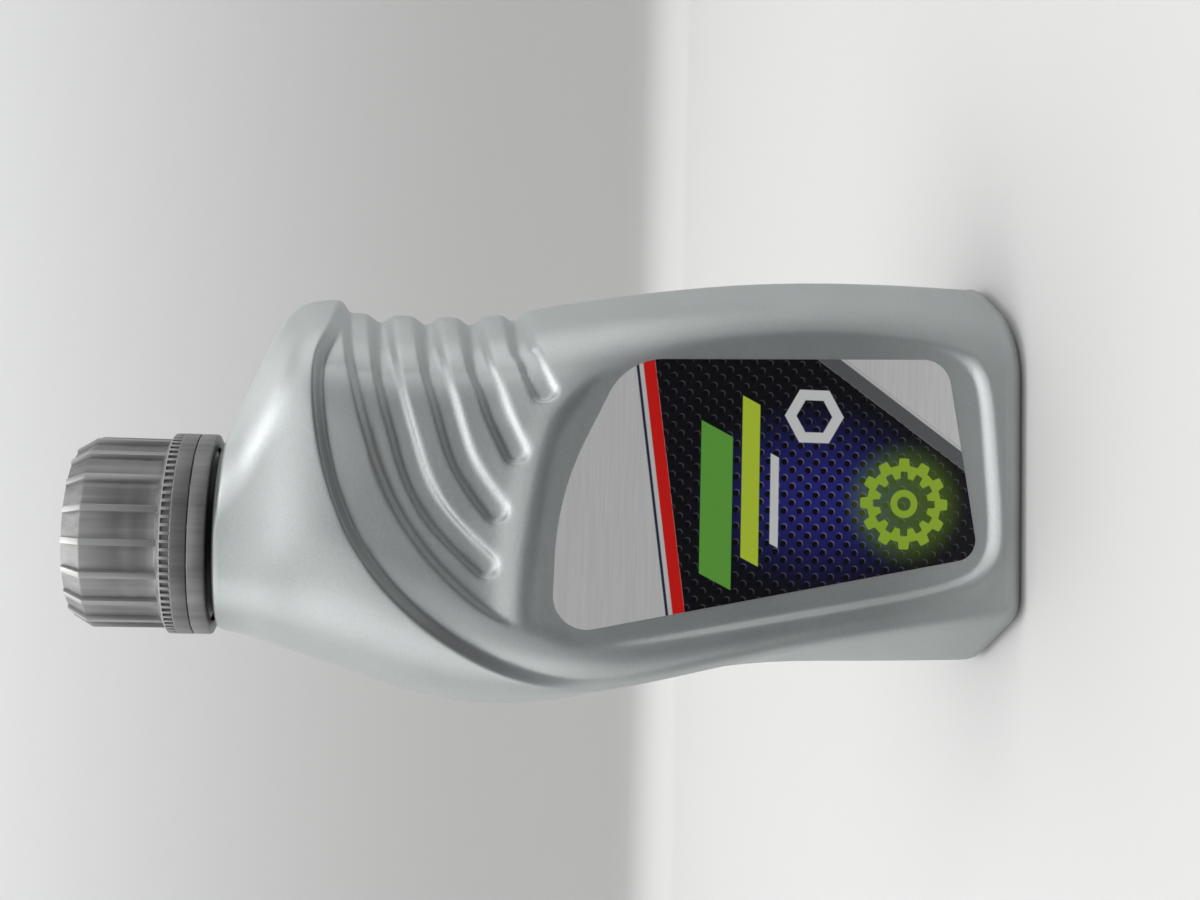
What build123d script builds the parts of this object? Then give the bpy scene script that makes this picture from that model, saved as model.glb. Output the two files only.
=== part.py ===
"""Half-litre motor oil bottle: blown body, screw cap, tamper band, sealing liner and front label.

Millimetres, +Z up, origin on the floor at the middle of the overall width. The label faces -Y,
the finger grip is on +X, and the mould's parting plane is the XZ plane.
"""
import os
from math import asin, atan2, hypot, pi, sqrt, tan

from build123d import *

# Bottle body
wall = 1.1
base_wall = 1.5
base_round = 3.0
base_rim = 8.0
base_margin = 0.15
push_up = 1.2
ring_pitch = 19.6
band_height = 1.2
groove_depth = 1.5
groove_width = 4.3
panel_depth = 23.2
panel_slope = 50.0
panel_rise = 4.0
valley_depth = 21.5
crease_depth = 26.2
far_side = 70.0

# Neck
neck_axis = -12.8
neck_radius = 16.5
bore_radius = 14.3
shoulder_top = 170.7
shoulder_radius = 20.2
rim_round = 0.8
neck_height = 27.0
lip_chamfer = 0.8
bead_radius = 19.2
bead_drop = 23.3
bead_height = 1.8
neck_top = shoulder_top + neck_height
bead_top = neck_top - bead_drop

# Screw cap
lid = 1.6
cap_radius = 19.2
cap_wall = 1.3
lid_bore = 16.2
slant_height = 4.1
slant_inset = 2.5
skirt_radius = 21.3
skirt_height = 5.1
skirt_rise = 1.1
tooth_height = 1.9
tooth_count = 80
tooth_depth = 0.5
tooth_width = 0.65
rib_count = 18
rib_width = 1.4
rib_height = 0.9
rib_turn = -96.0

# Tamper band, liner and label
band_drop = 25.8
band_tall = 3.3
tear_gap = 0.25
hook_reach = 0.8
running_gap = 0.3
liner_thickness = 0.9
seat_gap = 0.1
label_thickness = 0.15
band_bottom = neck_top - band_drop

os.makedirs("parts", exist_ok=True)


def nose(tip, radius, corner, depth, side):
    """Place of the sharp parting-plane corner whose rounding just reaches the tip."""
    centre = tip + side * radius
    run = side * (corner - centre)
    slope = atan2(depth, run) - asin(radius / hypot(run, depth))
    return corner - side * depth / tan(slope)


def ring(height, left, ridge, depth, corner, right, rounds, inset=0):
    """Level outline of the body: six sides, equal on both sides of the parting plane."""
    keel, edge, flank, heel = rounds
    left_end = nose(left, keel, ridge, depth, 1)
    right_end = nose(right, heel, corner, depth, -1)
    with BuildSketch(Plane.XY.offset(height)) as outline:
        with BuildLine():
            FilletPolyline(
                (left_end, 0),
                (ridge, -depth),
                (corner, -depth),
                (right_end, 0),
                (corner, depth),
                (ridge, depth),
                radius=[keel, edge, flank, heel, flank, edge],
                close=True,
            )
        make_face()
        if inset:
            offset(amount=-inset, kind=Kind.INTERSECTION)
    return outline.sketch


def round_ring(height, radius):
    """The same six-sided outline rounded into the neck's circle."""
    reach = radius / sqrt(3)
    soft = 0.96 * radius
    left = neck_axis - radius
    right = neck_axis + radius
    return ring(height, left, neck_axis - reach, radius, neck_axis + reach, right, [soft] * 4)


# Shoulder and left wall: height, left, ridge, depth, corner, right, roundings
shoulder_rings = [
    (0, -37.8, -26.9, 25.2, 20, 35, (8, 5, 9, 9)),
    (29, -38.4, -30.2, 25.6, 20, 35, (8, 5, 9, 9)),
    (59, -39.8, -36.1, 25.7, 20, 35, (8, 5, 10, 9)),
    (88, -45.7, -42.3, 25.7, 20, 35, (9, 6, 12, 9)),
    (110, -48.5, -42.1, 25.7, 20, 35, (11, 9, 14, 9)),
    (127, -46.6, -38.2, 25.7, 21, 35, (12, 12, 16, 9)),
    (141, -42.3, -32.4, 25.5, 22.5, 36.3, (13, 14, 18, 9)),
    (152, -38.5, -28.4, 24.4, 25, 38.5, (14, 15, 20, 9)),
    (159, -36.2, -26.5, 22.4, 15, 33.9, (16, 16, 20, 10)),
    (165, -34.3, -25.0, 21.0, 2, 21.0, (17, 17, 19, 14)),
]

# Main body at equal steps up from the base: left, ridge, depth, corner, right
body_rounds = (8, 5, 13, 12)
body_rings = [
    (-35.9, -26.1, 24.7, 35.3, 48.0),
    (-36.5, -28.4, 25.0, 36.2, 48.5),
    (-36.9, -31.4, 25.1, 36.0, 47.6),
    (-38.4, -35.5, 25.0, 35.0, 46.2),
    (-41.2, -38.6, 24.6, 32.8, 43.6),
    (-43.1, -39.2, 23.9, 28.0, 39.4),
    (-42.6, -36.0, 23.1, 24.0, 36.4),
    (-39.2, -29.9, 22.6, 23.0, 36.3),
    (-32.3, -23.5, 19.2, 16.5, 30.5),
]

# How far the grip's floor lies under the main body, from the step where the grip starts
grip_step = 4
grip_insets = [0.25, 0.3, band_height, band_height, band_height]

# Sweeping crease of the shoulder on the front, and the valley that lies deeper under it
crease = [
    (51, 152), (20.6, 152), (-3.5, 147.4), (-25.1, 134.3), (-39.6, 113.6),
    (-43.7, 93.1), (-38.8, 70.1), (-31.6, 37.6), (-24.1, -4),
]
valley = [
    (51, 146.4), (20.6, 146.8), (-1, 144.5), (-22.2, 131.1), (-36.5, 111.2),
    (-40.4, 93.1), (-35.7, 70.1), (-28.6, 37.6), (-21.2, -4),
]

# Grip: the raised band's lower edge above it, the soft ridge over the label panel below it
band_edge = [
    (51, 146.9), (32.3, 146.2), (18.5, 143.6), (2.2, 139), (-14, 130), (-26.5, 117.3), (-31.2, 108.6),
]
grip_ridge = [(-31.2, 108.6), (-10.8, 107.2), (14.7, 98.9), (51, 82.3)]

# Finger grooves: each from its round end on the front to past the grip side
groove_lines = [
    [(-18.2, 115.8), (-4.5, 128.7), (13.3, 135.0), (31.4, 138.5), (59, 141.6)],
    [(-6.9, 114.0), (4.1, 121.7), (16.7, 125.4), (31.4, 128.8), (59, 133.8)],
    [(5.3, 110.3), (13.2, 114.1), (21.6, 116.6), (31.4, 119.2), (59, 125.4)],
    [(18.8, 104.7), (24.0, 106.8), (28.4, 108.4), (33.3, 110.2), (59, 118.6)],
]

# Front panel and the label on it: corners and their roundings
panel_corners = [(-30.4, 110.7), (11.8, 104.9), (38.7, 80.4), (31.2, 9.4), (-19.6, 5.3), (-35.9, 95.1)]
panel_rounds = [6, 30, 24, 9, 8, 25]
label_corners = [(-32.2, 101.9), (-3, 101.2), (25.6, 87.5), (28.3, 17.6), (-14.0, 10.2)]
label_rounds = [7, 60, 13, 6, 4.6]


def body_ring(step, inset=0):
    """Main-body outline at one step, its ends and faces moved in."""
    left, ridge, depth, corner, right = body_rings[step]
    return ring(step * ring_pitch, left + inset, ridge, depth - inset, corner, right - inset, body_rounds)


def grip_floor(extra):
    """Loft levels of the grip's floor, moved in by some more."""
    return [body_ring(grip_step + i, inset + extra) for i, inset in enumerate(grip_insets)]


def sweep_field(points, depth, shift=0):
    """Area to the right of and below a sweeping line, on a plane that far in front."""
    line = [(x - shift, z + shift) for x, z in points]
    start = line[0]
    end = line[-1]
    with BuildSketch(Plane.XZ.offset(depth)) as field:
        with BuildLine():
            Spline(*line)
            Polyline(end, (far_side, end[1]), (far_side, start[1]), start)
        make_face()
    return field.sketch


def under_crease(shift=0):
    """Solids below the crease: straight through in the middle, flaring out to the crease on each face."""
    through = extrude(sweep_field(valley, 0, shift), amount=valley_depth, both=True, mode=Mode.PRIVATE)
    flares = [
        loft(
            [sweep_field(valley, side * valley_depth, shift), sweep_field(crease, side * crease_depth, shift)],
            mode=Mode.PRIVATE,
        )
        for side in (1, -1)
    ]
    return [through] + flares


def rounded_area(corners, rounds, plane):
    """Area with straight sides and rounded corners on a plane."""
    with BuildSketch(plane) as area:
        with BuildLine():
            FilletPolyline(*corners, radius=rounds, close=True)
        make_face()
    return area.sketch


def panel_recesses(depth):
    """The front and back panel recesses, their floors that far from the parting plane."""
    area = rounded_area(panel_corners, panel_rounds, Plane.XZ.offset(depth))
    front = extrude(area, amount=panel_rise, taper=-panel_slope, mode=Mode.PRIVATE)
    return [front, mirror(front, about=Plane.XZ, mode=Mode.PRIVATE)]


# Shoulder: flared from the neck's rim to the sweeping crease, and down the left side to the base
with BuildPart() as shoulder:
    loft([ring(*row) for row in shoulder_rings] + [round_ring(shoulder_top, shoulder_radius)])
    for cut in under_crease():
        add(cut, mode=Mode.SUBTRACT)

# Grip recess and finger grooves, down to floors that follow the body
with BuildPart() as grip_cut:
    with BuildSketch(Plane.XZ):
        with BuildLine():
            Spline(*band_edge)
            Spline(*grip_ridge)
            Line(grip_ridge[-1], band_edge[0])
        make_face()
    extrude(amount=far_side, both=True)
    loft(grip_floor(0), mode=Mode.SUBTRACT)

with BuildPart() as groove_cut:
    with BuildSketch(Plane.XZ):
        for line in groove_lines:
            with BuildLine() as path:
                Spline(*line)
            trace(path.line, line_width=groove_width)
            with Locations(line[0]):
                Circle(groove_width / 2)
    extrude(amount=far_side, both=True)
    loft(grip_floor(groove_depth), mode=Mode.SUBTRACT)

# Space inside, one wall within the outer forms
inner_insets = [wall] * grip_step + [wall + groove_depth + inset for inset in grip_insets]
inner_insets[grip_step] = wall
floor = base_wall + push_up
with BuildPart() as inside_shoulder:
    loft(
        [ring(*row, inset=wall) for row in shoulder_rings]
        + [round_ring(shoulder_top - wall, shoulder_radius - wall)]
    )
    for cut in under_crease(wall + running_gap):
        add(cut, mode=Mode.SUBTRACT)

with BuildPart() as inside:
    loft([body_ring(step, inset) for step, inset in enumerate(inner_insets)])
    for cut in panel_recesses(panel_depth - wall):
        add(cut, mode=Mode.SUBTRACT)
    add(inside_shoulder.part)
    split(bisect_by=Plane.XY.offset(floor), keep=Keep.TOP)

# What the rounded edge of the base leaves of a block below it
with BuildPart() as base_edge:
    _, left, ridge, depth, _, _, rounds = shoulder_rings[0]
    corner, right = body_rings[0][3:]
    base_outline = ring(
        0, left - base_margin, ridge - 2 * base_margin, depth + base_margin, corner, right + base_margin,
        rounds[:2] + body_rounds[2:],
    )
    with BuildSketch():
        Rectangle(2 * far_side, 2 * far_side)
    extrude(amount=base_round)
    foot = extrude(base_outline, amount=2 * base_round, mode=Mode.PRIVATE)
    foot_edges = foot.edges().group_by(Axis.Z)[0]
    add(foot.fillet(base_round, foot_edges), mode=Mode.SUBTRACT)

# Bottle
neck_line = Axis((neck_axis, 0, 0), (0, 0, 1))
neck_plane = Plane(origin=(neck_axis, 0, 0), x_dir=(1, 0, 0), z_dir=(0, -1, 0))
with BuildPart() as bottle:
    loft([body_ring(step) for step in range(len(body_rings))])
    add(grip_cut.part, mode=Mode.SUBTRACT)
    add(groove_cut.part, mode=Mode.SUBTRACT)
    add(shoulder.part)
    add(base_edge.part, mode=Mode.SUBTRACT)
    for cut in panel_recesses(panel_depth):
        add(cut, mode=Mode.SUBTRACT)
    with BuildSketch(Plane.XY):
        add(body_ring(0))
        offset(amount=-base_rim, kind=Kind.INTERSECTION, mode=Mode.REPLACE)
    extrude(amount=push_up, taper=45, mode=Mode.SUBTRACT)
    add(inside.part, mode=Mode.SUBTRACT)
    with BuildSketch(neck_plane):
        with BuildLine():
            Polyline(
                (bore_radius, shoulder_top - 2 * wall),
                (neck_radius, shoulder_top - 2 * wall),
                (neck_radius, bead_top - bead_height),
                (bead_radius, bead_top - bead_height),
                (neck_radius, bead_top),
                (neck_radius, neck_top - lip_chamfer),
                (neck_radius - lip_chamfer, neck_top),
                (bore_radius, neck_top),
                close=True,
            )
        make_face()
    revolve(axis=neck_line)
    with BuildSketch(Plane.XY.offset(shoulder_top - 4 * wall)):
        with Locations((neck_axis, 0)):
            Circle(bore_radius)
    extrude(amount=neck_top, mode=Mode.SUBTRACT)
    with BuildSketch(neck_plane):
        with BuildLine():
            rim_inner = (shoulder_radius - rim_round, shoulder_top)
            rim_outer = (shoulder_radius, shoulder_top - rim_round)
            RadiusArc(rim_inner, rim_outer, rim_round)
            Polyline(
                rim_outer,
                (shoulder_radius + rim_round, shoulder_top - rim_round),
                (shoulder_radius + rim_round, shoulder_top),
                rim_inner,
            )
        make_face()
    revolve(axis=neck_line, mode=Mode.SUBTRACT)

bottle.part.label = "bottle"
export_step(bottle.part, "parts/bottle.step")

# Screw cap: turned shell with a slanted top edge, a toothed skirt and straight grip ribs
liner_bottom = neck_top + seat_gap
lid_bottom = liner_bottom + liner_thickness
cap_top = lid_bottom + lid
band_top = band_bottom + band_tall
skirt_bottom = band_top + tear_gap
skirt_top = skirt_bottom + skirt_height
cap_bore = cap_radius - cap_wall
rib_radius = cap_radius + rib_height
rib_root = cap_radius - cap_wall / 2
slant_foot = cap_top - slant_height
notch_width = 2 * pi * skirt_radius / tooth_count - tooth_width
with BuildPart() as screw_cap:
    with BuildSketch(neck_plane):
        with BuildLine():
            Polyline(
                (0, lid_bottom),
                (lid_bore, lid_bottom),
                (cap_bore, slant_foot - cap_wall),
                (cap_bore, skirt_bottom),
                (skirt_radius, skirt_bottom),
                (skirt_radius, skirt_top),
                (cap_radius, skirt_top + skirt_rise),
                (cap_radius, slant_foot),
                (cap_radius - slant_inset, cap_top),
                (0, cap_top),
                close=True,
            )
        make_face()
    revolve(axis=neck_line)
    with BuildSketch(Plane.XZ):
        with BuildLine():
            Polyline(
                (rib_root, skirt_top),
                (rib_radius, skirt_top),
                (rib_radius, slant_foot),
                (rib_radius - slant_inset, cap_top),
                (rib_root - slant_inset, cap_top),
                (rib_root, slant_foot),
                close=True,
            )
        make_face()
    rib = extrude(amount=rib_width / 2, both=True, mode=Mode.PRIVATE)
    with Locations((neck_axis, 0, 0)):
        with PolarLocations(0, rib_count, start_angle=rib_turn):
            add(rib)
    with Locations((neck_axis, 0, skirt_top - tooth_height / 2)):
        with PolarLocations(skirt_radius, tooth_count):
            Box(2 * tooth_depth, notch_width, tooth_height, mode=Mode.SUBTRACT)

screw_cap.part.label = "screw_cap"
export_step(screw_cap.part, "parts/screw_cap.step")

# Tamper band: ring left on the neck, with a small hook under the neck's bead
band_bore = bead_radius + running_gap
hook_top = bead_top - bead_height - running_gap
with BuildPart() as tamper_band:
    with BuildSketch(neck_plane):
        with BuildLine():
            Polyline(
                (bead_radius - hook_reach, band_bottom),
                (skirt_radius, band_bottom),
                (skirt_radius, band_top),
                (band_bore, band_top),
                (band_bore, hook_top),
                (bead_radius - hook_reach, hook_top),
                close=True,
            )
        make_face()
    revolve(axis=neck_line)

tamper_band.part.label = "tamper_band"
export_step(tamper_band.part, "parts/tamper_band.step")

# Sealing liner under the lid, on the neck's lip
with BuildPart() as cap_liner:
    with BuildSketch(Plane.XY.offset(liner_bottom)):
        with Locations((neck_axis, 0)):
            Circle(lid_bore - running_gap)
    extrude(amount=liner_thickness)

cap_liner.part.label = "cap_liner"
export_step(cap_liner.part, "parts/cap_liner.step")

# Label film on the front panel
with BuildPart() as front_label:
    extrude(
        rounded_area(label_corners, label_rounds, Plane.XZ.offset(panel_depth)),
        amount=label_thickness,
    )

front_label.part.label = "front_label"
export_step(front_label.part, "parts/front_label.step")
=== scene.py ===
from math import cos, pi, radians, sin

import bmesh
import bpy
import numpy as np
from mathutils import Matrix, Vector


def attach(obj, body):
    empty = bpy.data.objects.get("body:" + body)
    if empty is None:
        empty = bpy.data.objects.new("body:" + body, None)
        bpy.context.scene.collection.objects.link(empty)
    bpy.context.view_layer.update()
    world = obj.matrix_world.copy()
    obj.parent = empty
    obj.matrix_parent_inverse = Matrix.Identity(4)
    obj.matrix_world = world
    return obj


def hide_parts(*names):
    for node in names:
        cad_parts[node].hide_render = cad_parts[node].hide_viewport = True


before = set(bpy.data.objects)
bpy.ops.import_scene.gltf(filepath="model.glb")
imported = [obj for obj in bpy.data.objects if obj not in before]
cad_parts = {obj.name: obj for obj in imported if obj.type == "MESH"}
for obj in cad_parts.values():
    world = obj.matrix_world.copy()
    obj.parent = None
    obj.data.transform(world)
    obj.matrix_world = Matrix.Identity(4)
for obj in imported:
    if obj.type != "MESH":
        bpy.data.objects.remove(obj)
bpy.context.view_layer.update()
scene = bpy.context.scene
mm = 0.001


# Bottle: one blown polyethylene shell, pigmented silver-grey, closed at the pinched base.
# A six-sided body flares into a shoulder; under the shoulder's sweeping crease lie a raised band,
# four finger grooves that wrap round the grip side, and a flat panel for the label.
neck_axis = -12.8
shoulder_top = 170.7
shoulder_radius = 20.2
neck_radius = 16.5
bore_radius = 14.3
neck_top = 197.7
bead_foot = 172.6

# Levels: height, left, ridge, depth, corner, right, four roundings, step down under the crease
round_reach = shoulder_radius / 3 ** 0.5
soft_round = 0.96 * shoulder_radius
body_levels = [
    (0, -37.8, -26.9, 25.2, 35.4, 48.3, 15, 6, 21, 15, 0.5),
    (29, -38.4, -30.2, 25.6, 36.2, 48.5, 15, 6, 20, 14, 0.55),
    (59, -39.8, -36.1, 25.7, 35.0, 46.9, 13, 7, 19, 13, 0.75),
    (88, -45.7, -42.3, 25.7, 30.8, 43.0, 11, 10, 21, 12, 1.4),
    (110, -48.5, -42.1, 25.7, 25.6, 39.9, 11, 17, 27, 12, 2.2),
    (127, -46.6, -38.2, 25.7, 23.5, 39.1, 12, 25, 30, 11, 2.8),
    (141, -42.3, -32.4, 25.5, 22.9, 39.2, 13, 29, 30, 10, 3.0),
    (152, -38.5, -28.4, 24.4, 23.0, 38.5, 14, 29, 28, 9.5, 3.0),
    (159, -36.2, -26.5, 22.4, 15.0, 33.9, 16, 23, 24, 10, 3.0),
    (165, -34.3, -25.0, 21.0, 2.0, 21.0, 17, 19.5, 20, 14, 3.0),
    (shoulder_top, neck_axis - shoulder_radius, neck_axis - round_reach, shoulder_radius,
     neck_axis + round_reach, neck_axis + shoulder_radius,
     soft_round, soft_round, soft_round, soft_round, 3.0),
]

# Lines seen from the front, each through a few points
crease = [
    (58, 146.4), (38.5, 147.6), (28.5, 150.4), (18.6, 151.6), (-3.5, 147.4), (-25.1, 134.3), (-39.6, 113.6),
    (-43.7, 93.1), (-38.8, 70.1), (-31.6, 37.6), (-24.1, -4), (-16.6, -45),
]
band_edge = [
    (51, 147.4), (32.3, 146.2), (18.5, 143.6), (2.2, 139), (-14, 130), (-26.5, 117.3), (-31.2, 108.6),
]
grip_ridge = [(-31.2, 108.6), (-10.8, 107.8), (14.7, 100.4), (51, 84.2)]
groove_lines = [
    [(-17.9, 115.5), (-4.2, 128.2), (13.5, 134.4), (31.4, 137.9), (59, 140.2)],
    [(-6.6, 113.7), (4.3, 121.2), (16.8, 124.8), (31.4, 128.0), (59, 130.2)],
    [(5.6, 110.0), (13.4, 113.6), (21.7, 116.0), (31.4, 118.4), (59, 120.6)],
    [(19.1, 104.4), (24.1, 106.3), (28.5, 107.7), (33.3, 109.0), (59, 110.6)],
]
panel_corners = [(-30.4, 110.7), (11.8, 104.9), (38.7, 80.4), (31.2, 9.4), (-19.6, 5.3), (-35.9, 95.1)]


def fair(points, per_step):
    """Smooth curve through the points: a cubic spline with free ends."""
    points = np.array(points, float)
    count = len(points)
    weave = np.eye(count)
    for i in range(1, count - 1):
        weave[i, i - 1:i + 2] = (1 / 6, 4 / 6, 1 / 6)
    pull = np.linalg.solve(weave, points)
    pull = np.vstack([2 * pull[0] - pull[1], pull, 2 * pull[-1] - pull[-2]])
    along = np.linspace(0, count - 1, (count - 1) * per_step + 1)
    start = np.minimum(along.astype(int), count - 2)
    u = (along - start)[:, None]
    shares = ((1 - u) ** 3, 3 * u ** 3 - 6 * u ** 2 + 4, 3 * u + 3 * u ** 2 - 3 * u ** 3 + 1, u ** 3)
    return sum(share * pull[start + k] for k, share in enumerate(shares)) / 6


def span(x, z, line):
    """Distance in the front view from each place to a line."""
    near = np.full(x.shape, 1e3)
    for (ax, az), (bx, bz) in zip(line[:-1], line[1:]):
        ex, ez = bx - ax, bz - az
        share = np.clip(((x - ax) * ex + (z - az) * ez) / (ex * ex + ez * ez), 0, 1)
        near = np.minimum(near, np.hypot(x - ax - share * ex, z - az - share * ez))
    return near


def depth_inside(x, z, outline):
    """The same distance to a closed outline: positive inside it, negative outside."""
    closed = np.vstack([outline, outline[:1]])
    inside = np.zeros(x.shape, bool)
    for (ax, az), (bx, bz) in zip(closed[:-1], closed[1:]):
        rise = bz - az if bz != az else 1e-9
        inside ^= ((az > z) != (bz > z)) & (x < (bx - ax) * (z - az) / rise + ax)
    near = span(x, z, closed)
    return np.where(inside, near, -near)


def ramp(distance, run, ease):
    """Slope from 0 to 1 over a run, rounded by the ease at both ends."""
    return (np.sqrt(distance ** 2 + ease ** 2) - np.sqrt((distance - run) ** 2 + ease ** 2) + run) / (2 * run)


def half_outline(levels, count, arc_points=40):
    """Front half of each level's outline from left to right: places and outward directions."""
    left, ridge, depth, corner, right, keel, edge, flank, heel = levels.T
    left_run = ridge - left - keel
    right_run = right - heel - corner
    lean = np.arctan2(depth, left_run) - np.arcsin(keel / np.hypot(left_run, depth))
    slant = np.arctan2(depth, right_run) - np.arcsin(heel / np.hypot(right_run, depth))
    arcs = [
        (left + keel, 0 * depth, keel, 0 * lean + pi, 1.5 * pi - lean),
        (ridge + edge * np.tan(lean / 2), edge - depth, edge, 1.5 * pi - lean, 0 * lean + 1.5 * pi),
        (corner - flank * np.tan(slant / 2), flank - depth, flank, 0 * lean + 1.5 * pi, 1.5 * pi + slant),
        (right - heel, 0 * depth, heel, 1.5 * pi + slant, 0 * lean + 2 * pi),
    ]
    turn = np.concatenate([np.linspace(a, b, arc_points, axis=1) for _, _, _, a, b in arcs], axis=1)
    middle_x, middle_y, radius = (
        np.repeat([arc[i] for arc in arcs], arc_points, axis=0).T for i in range(3)
    )
    x = middle_x + radius * np.cos(turn)
    y = middle_y + radius * np.sin(turn)
    length = np.cumsum(np.hypot(np.diff(x, prepend=x[:, :1]), np.diff(y, prepend=y[:, :1])), axis=1)
    even = np.linspace(0, 1, count)
    return [
        np.array([np.interp(even * run[-1], run, row) for run, row in zip(length, values)])
        for values in (x, y, turn)
    ]


def rounded(corners, ease, side_points=40):
    """Outline with straight sides whose corners are eased by repeated averaging."""
    corners = np.array(corners, float)
    ends = np.roll(corners, -1, axis=0)
    line = np.vstack([np.linspace(a, b, side_points, endpoint=False) for a, b in zip(corners, ends)])
    for _ in range(ease):
        line = (np.roll(line, 1, axis=0) + 2 * line + np.roll(line, -1, axis=0)) / 4
    return line


# Rows of the shell, from the middle of the base up the outside, over the lip and down inside
half_count = 146
fine_count = 480
foot_round = 4.5
level_table = fair(body_levels, 60)
heights = np.concatenate([
    np.arange(foot_round, 12, 0.5), np.arange(12, 95, 1.4), np.arange(95, 140, 0.6),
    np.arange(140, 154, 0.36), np.arange(154, 169.8, 0.5),
])
levels = np.array([np.interp(heights, level_table[:, 0], column) for column in level_table.T]).T
crease_field = np.vstack([fair(crease, 12), [(200, -45), (200, 146.4)]])
band_field = np.vstack([fair(band_edge, 10), [(-33.5, 60), (200, 60), (200, 147.4)]])
ridge_field = np.vstack([fair(grip_ridge, 10), [(120, 52), (120, 220), (-80, 220), (-80, 110)]])
panel_field = rounded(panel_corners, 60)

# Slopes of the skin and their roundings, and how they change where the front turns to the grip side
side_start = 24
side_turn = 12
crease_run = 1.7
crease_ease = 0.22
side_crease_share = 0.5
side_crease_ease = 0.5
grip_start = 96
grip_climb = 24
grip_least = 0.2
grip_more = 1.3
band_run = 1.3
band_ease = 0.25
ridge_run = 5.0
ridge_ease = 1.6
groove_half = 2.65
groove_deep = 1.25
groove_run = 0.75
groove_ease = 0.16
side_groove_deep = 0.65
side_groove_run = 1.15
side_groove_ease = 0.44


def relief(x, z, crease_step):
    """How far the skin lies inside the plain body: below the crease, in the grip and in its grooves."""
    to_side = np.clip((x - side_start) / side_turn, 0, 1)
    lip = crease_step * (1 - side_crease_share * to_side)
    drop = lip * ramp(depth_inside(x, z, crease_field), crease_run, crease_ease + side_crease_ease * to_side)
    climb = np.clip((z - grip_start) / grip_climb, 0, 1)
    grip_drop = grip_least + grip_more * climb * climb * (3 - 2 * climb)
    past_band = ramp(depth_inside(x, z, band_field), band_run, band_ease)
    past_ridge = ramp(depth_inside(x, z, ridge_field), ridge_run, ridge_ease)
    drop = drop + grip_drop * (past_band * past_ridge)
    deep = groove_deep + side_groove_deep * to_side
    wall_run = groove_run + side_groove_run * to_side
    wall_ease = groove_ease + side_groove_ease * to_side
    for line in groove_lines:
        from_wall = groove_half - span(x, z, fair(line, 10))
        drop = drop + deep * ramp(from_wall, wall_run, wall_ease)
    return drop


# Columns crowd together where the skin is steep, and at the parting line on both ends of a row
panel_step = 2.4
panel_run = 1.5
panel_ease = 0.4
crowding = 3.5
seam_crowd = 0.9
fine_x, fine_y, fine_turn = half_outline(levels[:, 1:10], fine_count)
fine_z = np.repeat(heights[:, None], fine_count, axis=1)
fine_step = np.hypot(np.gradient(fine_x, axis=1), np.gradient(fine_y, axis=1))
panel_wall = ramp(depth_inside(fine_x, fine_z, panel_field), panel_run, panel_ease)
fine_drop = relief(fine_x, fine_z, levels[:, 10:11]) + panel_step * panel_wall
crowd = np.clip(np.abs(np.gradient(fine_drop, axis=1)) / fine_step, 0, 1)
for _ in range(6):
    for axis in (0, 1):
        border = [(1, 1) if axis == k else (0, 0) for k in (0, 1)]
        wide = np.moveaxis(np.pad(crowd, border, mode="edge"), axis, 0)
        crowd = np.moveaxis((wide[:-2] + 2 * wide[1:-1] + wide[2:]) / 4, 0, axis)
run = np.cumsum(fine_step, axis=1)
from_end = np.minimum(run, run[:, -1:] - run)
crowd = np.maximum(crowd, np.exp(-(from_end / seam_crowd) ** 2))
share = np.cumsum((1 + crowding * crowd) * fine_step, axis=1)
share = (share - share[:, :1]) / (share[:, -1:] - share[:, :1])
even = np.linspace(0, 1, half_count + 1)
x, y, turn, seam_run = (
    np.array([np.interp(even, row_share, row) for row_share, row in zip(share, values)])
    for values in (fine_x, fine_y, fine_turn, from_end)
)
z = np.repeat(heights[:, None], half_count + 1, axis=1)

# The skin steps in, all but the parting line; a lip runs under the panel, and the panel is pressed flat
seam_height = 0.14
seam_half = 0.32
lip_height = 0.45
lip_away = 1.3
lip_half = 0.9
lip_top = 16
lip_fade = 5
panel_depth = 23.2
panel_soft = 0.3
panel_top_start = 88
panel_top_climb = 12
panel_top_run = 1.6
step_down = relief(x, z, levels[:, 10:11]) + seam_height * (1 - np.exp(-(seam_run / seam_half) ** 4))
x = x - step_down * np.cos(turn)
y = y - step_down * np.sin(turn)
in_panel = depth_inside(x, z, panel_field)
beside_panel = np.exp(-((in_panel + lip_away) / lip_half) ** 2)
foot_lip = lip_height * beside_panel * np.clip((lip_top - z) / lip_fade, 0, 1)
x = x + foot_lip * np.cos(turn)
y = y + foot_lip * np.sin(turn)
proud = -y - panel_depth
edge_run = panel_run + panel_top_run * np.clip((z - panel_top_start) / panel_top_climb, 0, 1)
y = y + ramp(in_panel, edge_run, panel_ease) * (proud + np.hypot(proud, panel_soft)) / 2


def full_ring(x, y, height):
    """The front half and its mirror image as one ring of places."""
    front = np.stack([x, y, 0 * x + height], axis=1)
    back = front[-2:0:-1] * (1, -1, 1)
    return np.vstack([front, back])


def neck_ring(radius, height):
    """A ring about the neck's axis; on the thread its radius varies."""
    around = pi + pi * np.arange(2 * half_count) / half_count
    return np.stack(
        [neck_axis + radius * np.cos(around), radius * np.sin(around), 0 * around + height], axis=1
    )


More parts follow.
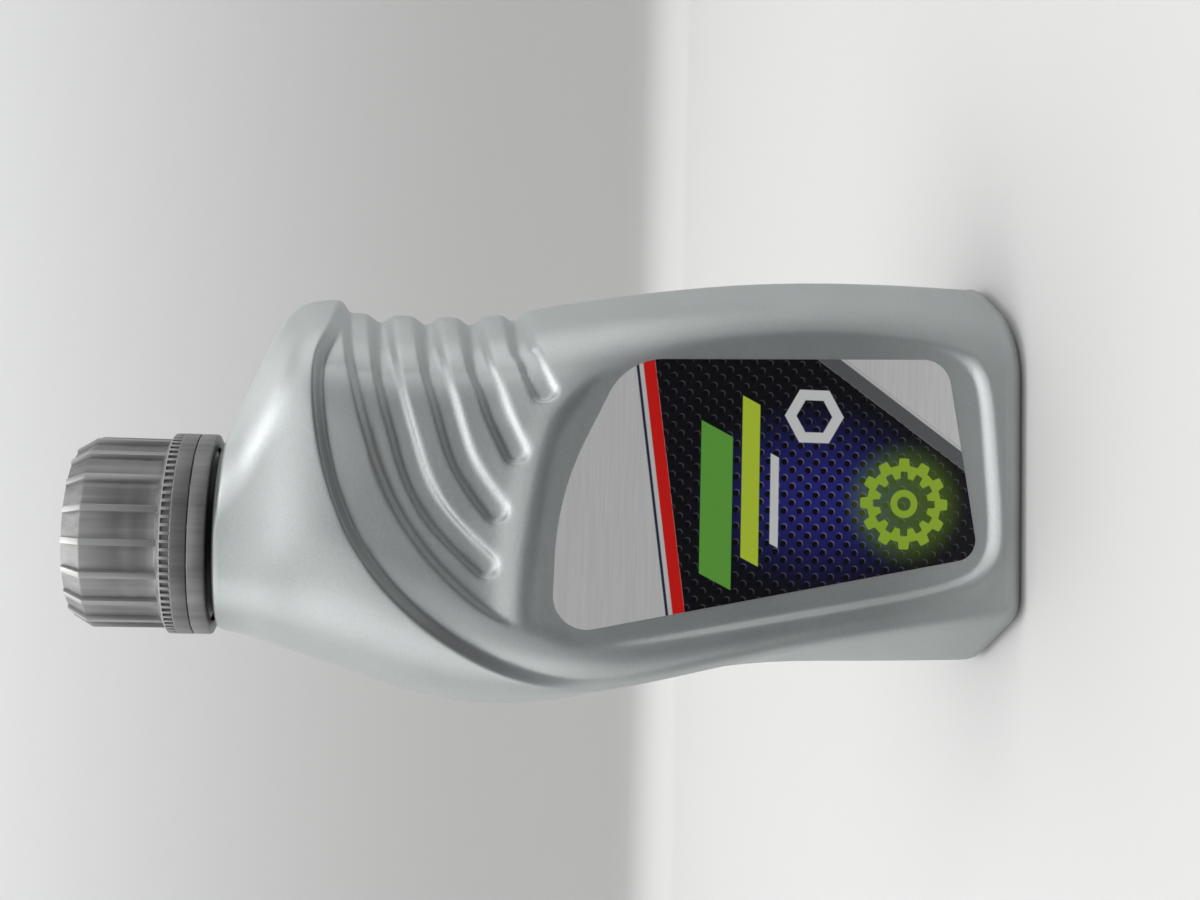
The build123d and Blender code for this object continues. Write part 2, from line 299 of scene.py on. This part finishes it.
# Base: a shallow push-up, each row by its inset and height, and a rounded edge
foot_middle = 5.0
foot_half_width = 43
foot_half_depth = 25.2
push_up = [(10.4, 1.2), (9.2, 0.3), (8.8, 0.05), (8.2, 0.0), (5.0, 0.0)]
foot_x, foot_y, foot_turn = (
    np.interp(even, share[0], rows[0]) for rows in half_outline(level_table[:1, 1:10], fine_count)
)
rings = []
for inset, height in push_up:
    share_x = 1 - inset / foot_half_width
    share_y = 1 - inset / foot_half_depth
    rings.append(full_ring(foot_middle + share_x * (foot_x - foot_middle), share_y * foot_y, height))
for angle in np.radians(np.arange(8, 80, 14)):
    inset = foot_round * (1 - sin(angle))
    rings.append(full_ring(
        foot_x - inset * np.cos(foot_turn), foot_y - inset * np.sin(foot_turn), foot_round * (1 - cos(angle))
    ))
for row, height in enumerate(heights):
    rings.append(full_ring(x[row], y[row], height))

# Neck: its foot and the bead that holds the band, the thread, the lip and the bore, as radius and height
neck_foot = [
    (20.15, 170.0), (20.0, 170.35), (19.7, 170.6), (19.3, shoulder_top), (16.9, shoulder_top), (16.6, 170.8),
    (neck_radius, 171.1), (neck_radius, 172.3), (16.8, 172.55), (18.8, bead_foot), (19.1, 172.7),
    (19.15, 172.95), (16.7, 174.3), (neck_radius, 174.6),
]
neck_lip = [
    (neck_radius, 196.8), (16.1, 197.4), (15.7, neck_top), (14.7, neck_top), (14.4, 197.5),
    (bore_radius, 197.1), (bore_radius, 172.0), (bore_radius, 168.6), (15.2, 167.6),
]
thread_pitch = 4.0
thread_height = 0.9
thread_low = 176.2
thread_high = 195.6
thread_fade = 2.0
thread_crest = 1.9
thread_flank = 7.6
thread_turn = (np.arange(2 * half_count) / (2 * half_count) + 0.5) % 1
rings += [neck_ring(*row) for row in neck_foot]
for height in np.arange(175.2, 196.4, 0.55):
    phase = (height / thread_pitch - thread_turn) % 1
    ridge_shape = np.clip(thread_crest - thread_flank * np.abs(phase - 0.5), 0, 1)
    fade = np.clip(min(height - thread_low, thread_high - height) / thread_fade, 0, 1)
    rings.append(neck_ring(neck_radius + thread_height * ridge_shape * fade, height))
rings += [neck_ring(*row) for row in neck_lip]

# Inside, as height and how far it lies within the plain body
inside_rows = [
    (165.5, 2.0), (162, 2.2), (157, 3.0), (151, 4.6), (143, 6.6), (132, 6.5), (120, 6.4), (108, 6.0),
    (96, 5.6), (84, 5.0), (72, 4.6), (58, 4.4), (44, 4.3), (30, 4.3), (16, 4.2), (6, 4.2), (3, 4.6),
]
for height, inset in inside_rows:
    level = np.array([[np.interp(height, level_table[:, 0], column) for column in level_table[:, 1:10].T]])
    inner_x, inner_y, inner_turn = (rows[0] for rows in half_outline(level, half_count + 1))
    rings.append(full_ring(
        inner_x - inset * np.cos(inner_turn), inner_y - inset * np.sin(inner_turn), height
    ))

# A tube with one row of corners for each ring, whose corners then move to the rings
shell = bmesh.new()
bmesh.ops.create_cone(
    shell, cap_ends=True, segments=2 * half_count, radius1=1, radius2=1, depth=len(rings) - 1,
    matrix=Matrix.Translation((0, 0, (len(rings) - 1) / 2)),
)
uprights = [edge for edge in shell.edges if abs(edge.verts[0].co.z - edge.verts[1].co.z) > 0.5]
bmesh.ops.subdivide_edges(shell, edges=uprights, cuts=len(rings) - 2, use_grid_fill=True)
for vert in shell.verts:
    around = np.arctan2(vert.co.y, vert.co.x) / pi * half_count + half_count
    vert.co = rings[round(vert.co.z)][round(around) % (2 * half_count)] * mm
bmesh.ops.recalc_face_normals(shell, faces=shell.faces)


class Shade:
    """A value in a material: arithmetic on it adds Math nodes, and node() adds any other node."""

    def __init__(self, tree, socket=None):
        self.tree = tree
        self.socket = socket

    def node(self, kind, settings, sockets, out=0):
        made = self.tree.nodes.new("ShaderNode" + kind)
        for name, value in settings.items():
            setattr(made, name, value)
        for name, value in sockets.items():
            if isinstance(value, Shade):
                self.tree.links.new(value.socket, made.inputs[name])
            else:
                made.inputs[name].default_value = value
        return Shade(self.tree, made.outputs[out])

    def feeds(self, shader, name):
        self.tree.links.new(self.socket, shader.inputs[name])

    def maths(self, operation, other=0.0):
        return self.node("Math", {"operation": operation}, {0: self, 1: other})

    def __add__(self, other):
        return self.maths("ADD", other)

    def __sub__(self, other):
        return self.maths("SUBTRACT", other)

    def __rsub__(self, other):
        return self.node("Math", {"operation": "SUBTRACT"}, {0: other, 1: self})

    def __mul__(self, other):
        return self.maths("MULTIPLY", other)

    __radd__ = __add__
    __rmul__ = __mul__

    def step(self, low, high):
        """0 below low, 1 above high, a soft step between."""
        sockets = {"Value": self, "From Min": low, "From Max": high}
        return self.node("MapRange", {"interpolation_type": "SMOOTHSTEP"}, sockets)


def new_material(name, specular=0.5):
    """A material with its shader, and a Shade to build on."""
    material = bpy.data.materials.new(name)
    material.use_nodes = True
    shader = material.node_tree.nodes["Principled BSDF"]
    shader.inputs["Specular IOR Level"].default_value = specular
    return material, shader, Shade(material.node_tree)


def painted(below, share, colour):
    """A colour laid over another by a share."""
    return share.node("Mix", {"data_type": "RGBA"}, {"Factor": share, 6: below, 7: colour}, out=2)


def millimetres(place, axis):
    """A place's distance along one axis, in millimetres."""
    return place.node("SeparateXYZ", {}, {"Vector": place}, out=axis) * 1000.0


def finished(name, made, material, soft_angle=40):
    """The mesh as an object, smooth except across edges sharper than the angle in degrees."""
    for face in made.faces:
        face.smooth = True
    for edge in made.edges:
        edge.smooth = len(edge.link_faces) == 2 and edge.calc_face_angle() < radians(soft_angle)
    mesh = bpy.data.meshes.new(name)
    made.to_mesh(mesh)
    made.free()
    mesh.materials.append(material)
    piece = bpy.data.objects.new(name, mesh)
    scene.collection.objects.link(piece)
    return piece


silver_dark = (0.595, 0.628, 0.622, 1)
silver_light = (0.675, 0.708, 0.702, 1)
root_shadow = (0.060, 0.062, 0.062, 1)
silver_plastic, shader, shade = new_material("silver_plastic")
shader.inputs["Metallic"].default_value = 0.88
place = shade.node("TexCoord", {}, {}, out="Object")
cloud = shade.node("TexNoise", {}, {"Vector": place, "Scale": 38.0, "Detail": 3.0})
fleck = shade.node("TexNoise", {}, {"Vector": place, "Scale": 2600.0, "Detail": 1.0})
grain = shade.node("TexNoise", {}, {"Vector": place, "Scale": 1150.0, "Detail": 2.0, "Roughness": 0.6})
tone = cloud * 0.6 + fleck * 0.4
colour = painted(silver_dark, tone.step(0.3, 0.7), silver_light)
height = millimetres(place, "Z")
# Painted shade: the neck's root, in the gap between the shoulder and the bead, is coloured dark
above_shoulder = height.step(shoulder_top - 0.2, shoulder_top + 0.05)
neck_root_shade = above_shoulder * (1 - height.step(bead_foot - 0.3, bead_foot))
painted(colour, neck_root_shade, root_shadow).feeds(shader, "Base Color")
gloss = 0.38 + grain * 0.10 + cloud * 0.06
gloss.feeds(shader, "Roughness")
skin = shade.node("Bump", {}, {"Strength": 0.22, "Distance": 0.00012, "Height": grain})
skin.feeds(shader, "Normal")

bottle_shell = finished("bottle_shell", shell, silver_plastic, soft_angle=180)
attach(bottle_shell, "bottle")
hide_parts("bottle")

# Tamper band: a polypropylene ring left on the neck when the cap is first turned.
# It hooks under the neck's bead, and short bridges along its upper edge once held it to the cap.
band_profile = [
    (18.5, 171.9), (20.9, 171.9), (21.2, 172.05), (21.3, 172.35), (21.3, 175.05), (21.2, 175.25),
    (21.0, 175.32), (19.6, 175.32), (19.5, 175.1), (19.5, 172.4), (18.5, 172.3),
]
bridge_count = 16
bridge_start = 4
bridge_corners = [(20.6, -0.35, 175.0), (21.15, 0.35, 175.38)]
bridge_round = 0.08


def turned(profile, steps):
    """Closed ring turned about the neck's axis from a profile of radius and height."""
    ring = bmesh.new()
    corners = [ring.verts.new((neck_axis * mm + radius * mm, 0, height * mm)) for radius, height in profile]
    sides = [ring.edges.new(pair) for pair in zip(corners, corners[1:] + corners[:1])]
    bmesh.ops.spin(
        ring, geom=corners + sides, cent=(neck_axis * mm, 0, 0), axis=(0, 0, 1), angle=2 * pi, steps=steps,
        use_merge=True,
    )
    bmesh.ops.remove_doubles(ring, verts=ring.verts, dist=1e-7)
    bmesh.ops.recalc_face_normals(ring, faces=ring.faces)
    return ring


def set_around(target, one, count, first_turn):
    """Copies of one small form about the neck's axis, added to the target; the turn is in degrees."""
    middle = Matrix.Translation((neck_axis * mm, 0, 0))
    bmesh.ops.transform(one, matrix=middle @ Matrix.Rotation(radians(first_turn), 4, "Z"), verts=one.verts)
    bmesh.ops.spin(
        one, geom=one.verts[:] + one.edges[:] + one.faces[:], cent=middle.translation, axis=(0, 0, 1),
        angle=2 * pi * (count - 1) / count, steps=count - 1, use_duplicate=True,
    )
    bmesh.ops.recalc_face_normals(one, faces=one.faces)
    copies = bpy.data.meshes.new("copies")
    one.to_mesh(copies)
    one.free()
    target.from_mesh(copies)
    bpy.data.meshes.remove(copies)


def round_edges(made, round_off):
    """All edges of a small form rounded, in millimetres."""
    bmesh.ops.bevel(
        made, geom=made.edges[:], offset=round_off * mm, segments=2, profile=0.5, affect="EDGES", material=-1
    )


def rounded_block(low, high, round_off):
    """A small block with rounded edges: corners as outward, sideways and height in millimetres."""
    size = [(b - a) * mm for a, b in zip(low, high)]
    middle = [(a + b) / 2 * mm for a, b in zip(low, high)]
    block = bmesh.new()
    bmesh.ops.create_cube(block, size=1, matrix=Matrix.Translation(middle) @ Matrix.Diagonal((*size, 1)))
    round_edges(block, round_off)
    return block


def distance(first, second):
    """Length of the step from two differences."""
    return (first * first + second * second).maths("SQRT")


# One grey plastic for band and cap, streaked as it flowed, with painted highlights that make the cap's ribs
# and teeth pale
rib_count = 18
rib_start = -96
grey_dark = (0.205, 0.208, 0.203, 1)
grey_light = (0.325, 0.329, 0.322, 1)
rib_highlight_grey = (0.500, 0.506, 0.495, 1)
grey_plastic, shader, shade = new_material("grey_cap_plastic")
shader.inputs["Metallic"].default_value = 0.35
place = shade.node("TexCoord", {}, {}, out="Object")
flow = shade.node("Mapping", {}, {"Vector": place, "Scale": (620.0, 620.0, 30.0)})
streak = shade.node("TexNoise", {}, {"Vector": flow, "Scale": 1.0, "Detail": 3.0})
cloud = shade.node("TexNoise", {}, {"Vector": place, "Scale": 90.0, "Detail": 2.0})
fine = shade.node("TexNoise", {}, {"Vector": place, "Scale": 1800.0, "Detail": 1.0})
tone = streak * 0.7 + cloud * 0.3
colour = painted(grey_dark, tone.step(0.3, 0.72), grey_light)
outward = millimetres(place, "X") - neck_axis
sideways = millimetres(place, "Y")
height = millimetres(place, "Z")
reach = distance(outward, sideways)
rib_turn = sideways.maths("ARCTAN2", outward) * (rib_count / (2 * pi)) + (0.5 - rib_start * rib_count / 360)
off_rib = (rib_turn.maths("FRACT") - 0.5).maths("ABSOLUTE")
on_rib = (1 - off_rib.step(0.10, 0.125)) * height.step(180.9, 181.5) * reach.step(16.1, 16.4)
on_tooth = reach.step(20.9, 21.05) * height.step(178.3, 178.7)
# Painted highlight: the cap's ribs and teeth are coloured paler
painted_rib_highlight = on_rib.maths("MAXIMUM", on_tooth)
painted(colour, painted_rib_highlight * 0.8, rib_highlight_grey).feeds(shader, "Base Color")
gloss = 0.30 + streak * 0.14 + cloud * 0.06
gloss.feeds(shader, "Roughness")
skin = shade.node("Bump", {}, {"Strength": 0.12, "Distance": 0.0001, "Height": streak * 0.7 + fine * 0.3})
skin.feeds(shader, "Normal")

band = turned(band_profile, 160)
set_around(band, rounded_block(*bridge_corners, bridge_round), bridge_count, bridge_start)
band_ring = finished("band_ring", band, grey_plastic)
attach(band_ring, "bottle")
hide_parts("tamper_band")

# Screw cap: an injection-moulded polypropylene cap with a slanted top edge and 18 straight grip ribs.
# A row of fine teeth runs round its skirt. It turns on the neck's thread and rises with it.
cap_profile = [
    (0, 200.15), (13.6, 200.15), (14.0, 200.3), (16.4, 200.3), (16.75, 200.2), (19.0, 196.5), (19.2, 196.1),
    (19.2, 189.3), (19.12, 188.3), (19.2, 187.3), (19.2, 185.6), (19.13, 184.6), (19.2, 183.6),
    (19.2, 181.9), (19.35, 181.7), (21.0, 180.75), (21.2, 180.6), (21.2, 180.45), (20.75, 180.4),
    (20.75, 178.8), (21.15, 178.7), (21.3, 178.55), (21.3, 175.72), (21.2, 175.52), (20.95, 175.45),
    (18.1, 175.45), (17.9, 175.65), (17.9, 194.8), (16.2, 198.7), (0, 198.7),
]
rib_profile = [(18.7, 181.2), (20.1, 181.2), (20.1, 196.2), (17.6, 200.25), (16.3, 200.25), (18.7, 196.2)]
rib_width = 1.4
rib_round = 0.2
tooth_count = 80
tooth_corners = [(20.5, -0.34, 178.6), (21.28, 0.34, 180.6)]
tooth_round = 0.14
cap = turned(cap_profile, 180)
rib = bmesh.new()
flat = rib.faces.new([
    rib.verts.new((radius * mm, -rib_width / 2 * mm, height * mm)) for radius, height in rib_profile
])
grown = bmesh.ops.extrude_face_region(rib, geom=[flat])
rib_verts = [item for item in grown["geom"] if isinstance(item, bmesh.types.BMVert)]
bmesh.ops.translate(rib, verts=rib_verts, vec=(0, rib_width * mm, 0))
bmesh.ops.recalc_face_normals(rib, faces=rib.faces)
round_edges(rib, rib_round)
set_around(cap, rib, rib_count, rib_start)
set_around(cap, rounded_block(*tooth_corners, tooth_round), tooth_count, 0)
cap_shell = finished("cap_shell", cap, grey_plastic)
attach(cap_shell, "cap")
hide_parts("screw_cap")

# Sealing liner: a disc of white foam, punched from a sheet and held under the cap's lid.
# The closed cap presses it on the neck's lip.
foam_dark = (0.76, 0.76, 0.73, 1)
foam_light = (0.86, 0.86, 0.83, 1)
foam, shader, shade = new_material("white_foam", 0.2)
shader.inputs["Roughness"].default_value = 0.8
place = shade.node("TexCoord", {}, {}, out="Object")
cells = shade.node("TexVoronoi", {}, {"Vector": place, "Scale": 2400.0})
painted(foam_dark, cells.step(0.1, 0.7), foam_light).feeds(shader, "Base Color")
skin = shade.node("Bump", {}, {"Strength": 0.2, "Distance": 0.0001, "Height": cells})
skin.feeds(shader, "Normal")
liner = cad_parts["cap_liner"]
liner.data.materials.clear()
liner.data.materials.append(foam)

# Front label: a silver film printed in colours and stuck on the panel. A brushed ground shows at the top
# and in a lower corner; between them lie a dark field of punched dots, slanted bars, a hexagon and a cog.
ground_dark = (0.87, 0.87, 0.86, 1)
ground_light = (0.95, 0.95, 0.94, 1)
film, shader, shade = new_material("label_film", 0.35)
place = shade.node("TexCoord", {}, {}, out="Object")
across = millimetres(place, "X")
height = millimetres(place, "Z")
hair_lines = shade.node("Mapping", {}, {"Vector": place, "Scale": (70.0, 70.0, 2400.0)})
hair = shade.node("TexNoise", {}, {"Vector": hair_lines, "Scale": 1.0, "Detail": 4.0})
ink = painted(ground_dark, hair.step(0.25, 0.75), ground_light)

# Dark field between two slanted edges, with stripes along both
field_slope = 0.14
field_top = 78.0
corner_slope = 1.445
corner_drop = 7.1
edge_ease = 0.12
field_black = (0.006, 0.006, 0.008, 1)
stripe_red = (0.900, 0.016, 0.012, 1)
line_blue = (0.030, 0.034, 0.090, 1)
border_grey = (0.170, 0.172, 0.180, 1)
border_white = (0.850, 0.850, 0.850, 1)


def within(value, low, high):
    """1 between two values, with soft edges."""
    return value.step(low - edge_ease, low + edge_ease) * (1 - value.step(high - edge_ease, high + edge_ease))


field_edge = height - across * field_slope - field_top
corner_edge = (across * corner_slope - height + corner_drop) * (1 + corner_slope ** 2) ** -0.5
field = (1 - field_edge.step(-edge_ease, edge_ease)) * (1 - corner_edge.step(-edge_ease, edge_ease))
stripe = within(field_edge, 0.0, 2.6)
ink = painted(ink, field, field_black)
ink = painted(ink, stripe, stripe_red)
ink = painted(ink, within(field_edge, 3.5, 4.1), line_blue)
ink = painted(ink, within(corner_edge, 0.0, 3.6), border_grey)
ink = painted(ink, within(corner_edge, 3.0, 3.6), border_white)

# Blue glow behind rows of punched dots
glow_x = -2.0
glow_z = 46.0
glow_width = 0.045
glow_rise = 0.034
dot_rate = 0.29
glow_blue = (0.028, 0.028, 0.250, 1)
rim_blue = (0.300, 0.310, 0.420, 1)
hole_black = (0.003, 0.003, 0.006, 1)
glow = 1 - distance((across - glow_x) * glow_width, (height - glow_z) * glow_rise).step(0.1, 1.0)
ink = painted(ink, field * glow, glow_blue)
for shift in (0.0, 0.5):
    column = (across * dot_rate + shift).maths("FRACT") - 0.5
    row = (height * dot_rate + shift).maths("FRACT") - 0.5
    hole = 1 - distance(column, row).step(0.17, 0.21)
    rim = (1 - distance(column - 0.05, row + 0.05).step(0.17, 0.23)) * (1 - hole)
    ink = painted(ink, field * rim * (0.25 + glow * 0.5), rim_blue)
    ink = painted(ink, field * hole, hole_black)

# Slanted bars: lower and upper edge, start and end, colour
bar_slant = 0.5
mark_white = (0.930, 0.930, 0.930, 1)
bars = [
    (64.6, 71.4, -22.0, 10.0, (0.170, 0.520, 0.070, 1)),
    (58.8, 62.6, -17.0, 17.0, (0.660, 0.850, 0.060, 1)),
    (54.6, 56.4, -13.0, 6.0, mark_white),
]
for low, high, start, end, bar_colour in bars:
    bar = within(height, low, high) * within(across - height * bar_slant + low * bar_slant, start, end)
    ink = painted(ink, bar, bar_colour)

# Hexagon
hexagon_x = 15.0
hexagon_z = 47.0
side = (across - hexagon_x).maths("ABSOLUTE")
rise = (height - hexagon_z).maths("ABSOLUTE")
hexagon = side.maths("MAXIMUM", side * sin(radians(30)) + rise * cos(radians(30)))
ink = painted(ink, within(hexagon, 3.4, 5.6), mark_white)

# Cog in a green glow, with a ring at its middle
cog_x = -3.0
cog_z = 27.0
cog_teeth = 12.0
tooth_rise = 1.5
cog_shine = (0.200, 0.340, 0.030, 1)
cog_green = (0.420, 0.640, 0.050, 1)
cog_across = across - cog_x
cog_up = height - cog_z
cog_radius = distance(cog_across, cog_up)
cog_turn = cog_up.maths("ARCTAN2", cog_across) * cog_teeth
tooth = cog_turn.maths("COSINE").step(-0.35, 0.35)
ink = painted(ink, field * (1 - cog_radius.step(7.0, 14.5)) * 0.45, cog_shine)
ink = painted(ink, within(cog_radius - tooth * tooth_rise, 5.4, 8.2), cog_green)
ink = painted(ink, within(cog_radius, 1.5, 3.0), cog_green)

ink.feeds(shader, "Base Color")
silver = (1 - field) * (1 - stripe)
shine = silver * 0.2
shine.feeds(shader, "Metallic")
gloss = 0.26 + silver * 0.10 + hair * 0.08
gloss.feeds(shader, "Roughness")
film_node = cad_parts["front_label"]
film_node.data.materials.clear()
film_node.data.materials.append(film)

# Stage: a white table that curves up into a white wall close behind, one bent board of paper.
# The camera sees it pale; what the plastic mirrors of it is darker, most of all in front, as painted shade.
board_half = 2.0
wall_top = 2.0
wall_y = 0.36
corner_round = 0.02
edge_profile = [(-board_half, 0.0), (wall_y - corner_round, 0.0)]
for angle in np.radians(np.arange(10, 90, 10)):
    edge_profile.append((wall_y - corner_round * (1 - sin(angle)), corner_round * (1 - cos(angle))))
edge_profile += [(wall_y, corner_round), (wall_y, wall_top)]
sheet = bmesh.new()
line = [sheet.verts.new((-board_half, board_y, board_z)) for board_y, board_z in edge_profile]
edges = [sheet.edges.new(pair) for pair in zip(line[:-1], line[1:])]
drawn = bmesh.ops.extrude_edge_only(sheet, edges=edges)
moved = [item for item in drawn["geom"] if isinstance(item, bmesh.types.BMVert)]
bmesh.ops.translate(sheet, verts=moved, vec=(2 * board_half, 0, 0))
bmesh.ops.recalc_face_normals(sheet, faces=sheet.faces)

front_mirrored_shade = (0.04, 0.04, 0.04, 1)
back_mirrored = (0.41, 0.41, 0.41, 1)
wall_mirrored = (0.72, 0.72, 0.72, 1)
table_shown = (0.65, 0.65, 0.64, 1)
shaded_wall_shown = (0.57, 0.57, 0.56, 1)
lit_wall_top_shown = (0.94, 0.94, 0.94, 1)
paper, shader, shade = new_material("white_board", 0.2)
shader.inputs["Roughness"].default_value = 0.6
place = shade.node("TexCoord", {}, {}, out="Object")
seen = shade.node("LightPath", {}, {}, out="Is Camera Ray")
back = millimetres(place, "Y")
height = millimetres(place, "Z")
on_wall = height.step(5.0, 30.0)
# Painted shade in the reflections: the table is mirrored darkest in front of the bottle
mirrored = painted(painted(front_mirrored_shade, back.step(-120.0, 0.0), back_mirrored), on_wall, wall_mirrored)
# Painted light and shade for the camera: the wall darker than the table low down, and lighter towards its top
shown = painted(painted(table_shown, on_wall, shaded_wall_shown), height.step(80.0, 420.0), lit_wall_top_shown)
painted(mirrored, seen, shown).feeds(shader, "Base Color")
table = finished("table_and_wall", sheet, paper, soft_angle=180)

# Light: five soft boxes above the bottle and at both sides, each by name, place, width and watts.
# The room about them is dim, and the camera sees it as a pale backdrop.
light_aim = Vector((0, 0, 0.1))
soft_boxes = [
    ("back_box", (0.0, 0.1, 1.1), 0.8, 6.0),
    ("upper_left_box", (-0.5, 0.0, 1.0), 0.7, 3.6),
    ("upper_front_box", (0.0, -0.75, 1.1), 1.9, 9.0),
    ("left_box", (-0.9, -0.22, 0.4), 0.8, 1.8),
    ("right_box", (0.9, -0.15, 0.4), 0.8, 1.9),
]
for name, box_place, width, watts in soft_boxes:
    lamp = bpy.data.lights.new(name, "AREA")
    lamp.shape = "SQUARE"
    lamp.size = width
    lamp.energy = watts
    holder = bpy.data.objects.new(name, lamp)
    holder.location = box_place
    holder.rotation_euler = (light_aim - Vector(box_place)).to_track_quat("-Z", "Y").to_euler()
    scene.collection.objects.link(holder)
world = bpy.data.worlds.new("room")
world.use_nodes = True
shade = Shade(world.node_tree)
seen = shade.node("LightPath", {}, {}, out="Is Camera Ray")
room_light = shade.node("Background", {}, {"Color": (0.95, 0.98, 1.0, 1), "Strength": 0.18})
backdrop = shade.node("Background", {}, {"Color": (0.62, 0.62, 0.61, 1), "Strength": 1.0})
room = shade.node("MixShader", {}, {"Fac": seen, 1: room_light, 2: backdrop})
room.feeds(world.node_tree.nodes["World Output"], "Surface")
scene.world = world

# Camera: held on its side, a little above the label and looking slightly down.
camera_place = (-0.0116, -0.3095, 0.1346)
pitch, yaw, roll = radians(8.3), radians(3.6), radians(1.86)
right = Vector((cos(yaw), -sin(yaw), 0))
forward = Vector((sin(yaw) * cos(pitch), cos(yaw) * cos(pitch), -sin(pitch)))
upward = right.cross(forward)
camera_x = sin(roll) * right - cos(roll) * upward
camera_y = cos(roll) * right + sin(roll) * upward
lens = bpy.data.cameras.new("camera")
lens.sensor_width = 36
lens.lens = 42
lens.clip_start = 0.01
camera = bpy.data.objects.new("camera", lens)
camera_turn = Matrix((camera_x, camera_y, -forward)).transposed().to_4x4()
camera.matrix_world = Matrix.Translation(camera_place) @ camera_turn
scene.collection.objects.link(camera)
scene.camera = camera
scene.view_settings.view_transform = "Standard"
